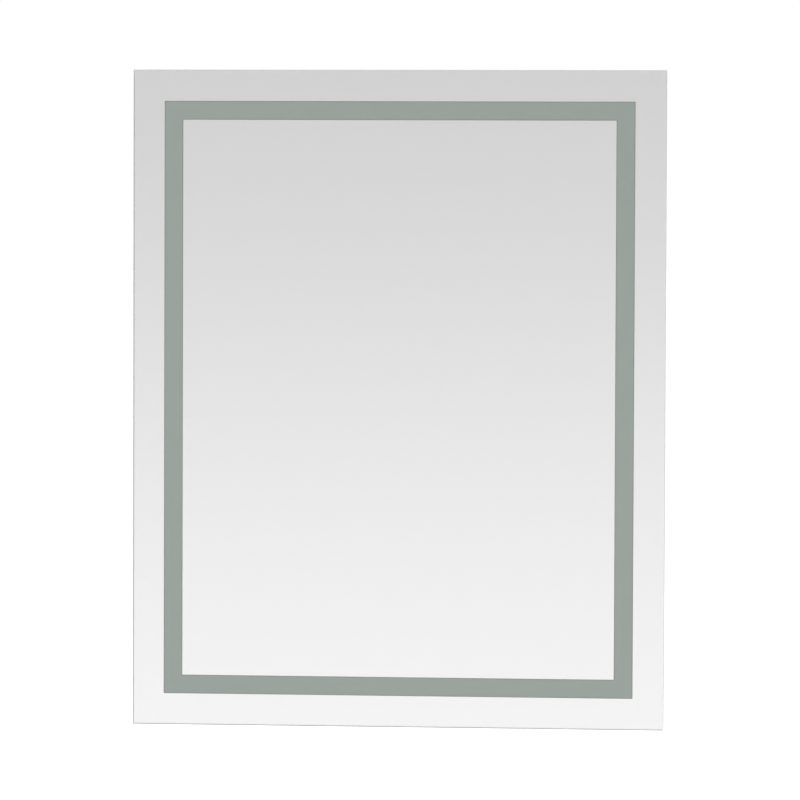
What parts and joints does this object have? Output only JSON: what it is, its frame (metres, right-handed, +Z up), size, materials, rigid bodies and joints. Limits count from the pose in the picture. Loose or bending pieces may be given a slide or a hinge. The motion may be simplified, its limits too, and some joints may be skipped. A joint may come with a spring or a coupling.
{
  "type": "lighted bathroom mirror",
  "caption": "Rectangular wall mirror with a frosted light band let into its silvering, on a slim aluminium housing that holds LED tape, driver and wiring box and hooks onto a wall rail.",
  "frame": {"origin": "On the wall plane, midway along the line of wall screw holes in the wall rail. The top edge of the glass is 77 mm above it.", "axes": "+X to the viewer's right, +Y into the wall, +Z up. The glass faces -Y."},
  "size_m": [0.65, 0.0412, 0.8],
  "materials": {
    "clear_glass": "clear float glass with a ground arris",
    "silvering": "silver film on the back of the glass",
    "sandblasted_glass": "fine sandblasted glass, matt, grey with a green cast",
    "backing_paint": "flat grey mirror backing paint",
    "foam": "closed-cell foam",
    "anodised_aluminium": "natural satin anodised extrusion",
    "die_cast_zinc": "raw die-cast zinc",
    "zinc_plated_steel": "bright zinc-plated steel",
    "powder_coated_steel": "white powder coat with a fine orange peel",
    "galvanised_steel": "galvanised sheet with a soft spangle",
    "led_tape_white": "white solder mask on flexible board",
    "led_phosphor": "silicone-filled diode with yellow phosphor",
    "black_component": "moulded black electronic parts",
    "circuit_board": "green solder mask on glass-fibre board",
    "white_plastic": "moulded white polycarbonate",
    "natural_nylon": "moulded natural nylon",
    "black_rubber": "moulded black rubber",
    "brass": "turned brass",
    "tinned_copper": "tin-plated copper",
    "wire_brown": "brown wire insulation",
    "wire_blue": "blue wire insulation",
    "wire_green_yellow": "green wire insulation with a yellow stripe",
    "wire_red": "red wire insulation",
    "wire_black": "black wire insulation"
  },
  "bodies": {
    "wall_bracket": {"wall_rail_flange": "zinc_plated_steel", "wall_rail_shelf": "zinc_plated_steel", "wall_rail_hook": "zinc_plated_steel"},
    "mirror": {"mirror_pane": "clear_glass", "silver_border": "silvering", "silver_centre": "silvering", "frosted_band": "sandblasted_glass", "paint_border": "backing_paint", "paint_centre": "backing_paint", "glazing_tape": "foam", "frame_top": "anodised_aluminium", "frame_right": "anodised_aluminium", "frame_bottom": "anodised_aluminium", "frame_left": "anodised_aluminium", "corner_keys": "die_cast_zinc", "corner_key_screws": "zinc_plated_steel", "led_tape_top": "led_tape_white", "led_tape_right": "led_tape_white", "led_tape_bottom": "led_tape_white", "led_tape_left": "led_tape_white", "led_chips": "led_phosphor", "tape_resistors": "black_component", "tape_jumpers_positive": "wire_red", "tape_jumpers_negative": "wire_black", "cover_seal": "foam", "rear_cover": "powder_coated_steel", "rear_cover_screws": "zinc_plated_steel", "hanging_rail_flange": "zinc_plated_steel", "hanging_rail_shelf": "zinc_plated_steel", "hanging_rail_hook": "zinc_plated_steel", "hanging_rail_screws": "zinc_plated_steel", "rail_rivet_nuts": "zinc_plated_steel", "wall_bumpers": "black_rubber", "driver_case": "white_plastic", "driver_lid": "white_plastic", "driver_board": "circuit_board", "driver_components": "black_component", "driver_screws": "zinc_plated_steel", "junction_box": "galvanised_steel", "junction_box_rivets": "zinc_plated_steel", "wiring_cover": "galvanised_steel", "wiring_cover_screws": "zinc_plated_steel", "cable_bushing": "black_rubber", "lead_grommet": "black_rubber", "terminal_block": "natural_nylon", "terminal_tubes": "brass", "terminal_clamp_screws": "zinc_plated_steel", "terminal_block_screws": "zinc_plated_steel", "earth_stud": "brass", "earth_nuts": "zinc_plated_steel", "earth_ring_terminal": "tinned_copper", "live_lead": "wire_brown", "neutral_lead": "wire_blue", "earth_lead": "wire_green_yellow", "led_lead_positive": "wire_red", "led_lead_negative": "wire_black", "wire_clips": "white_plastic"}
  },
  "joints": [
    {"name": "lift_off", "type": "slide", "parent": "wall_bracket", "child": "mirror", "axis": [0, 0, 1], "range_m": [0, 0.02]}
  ]
}
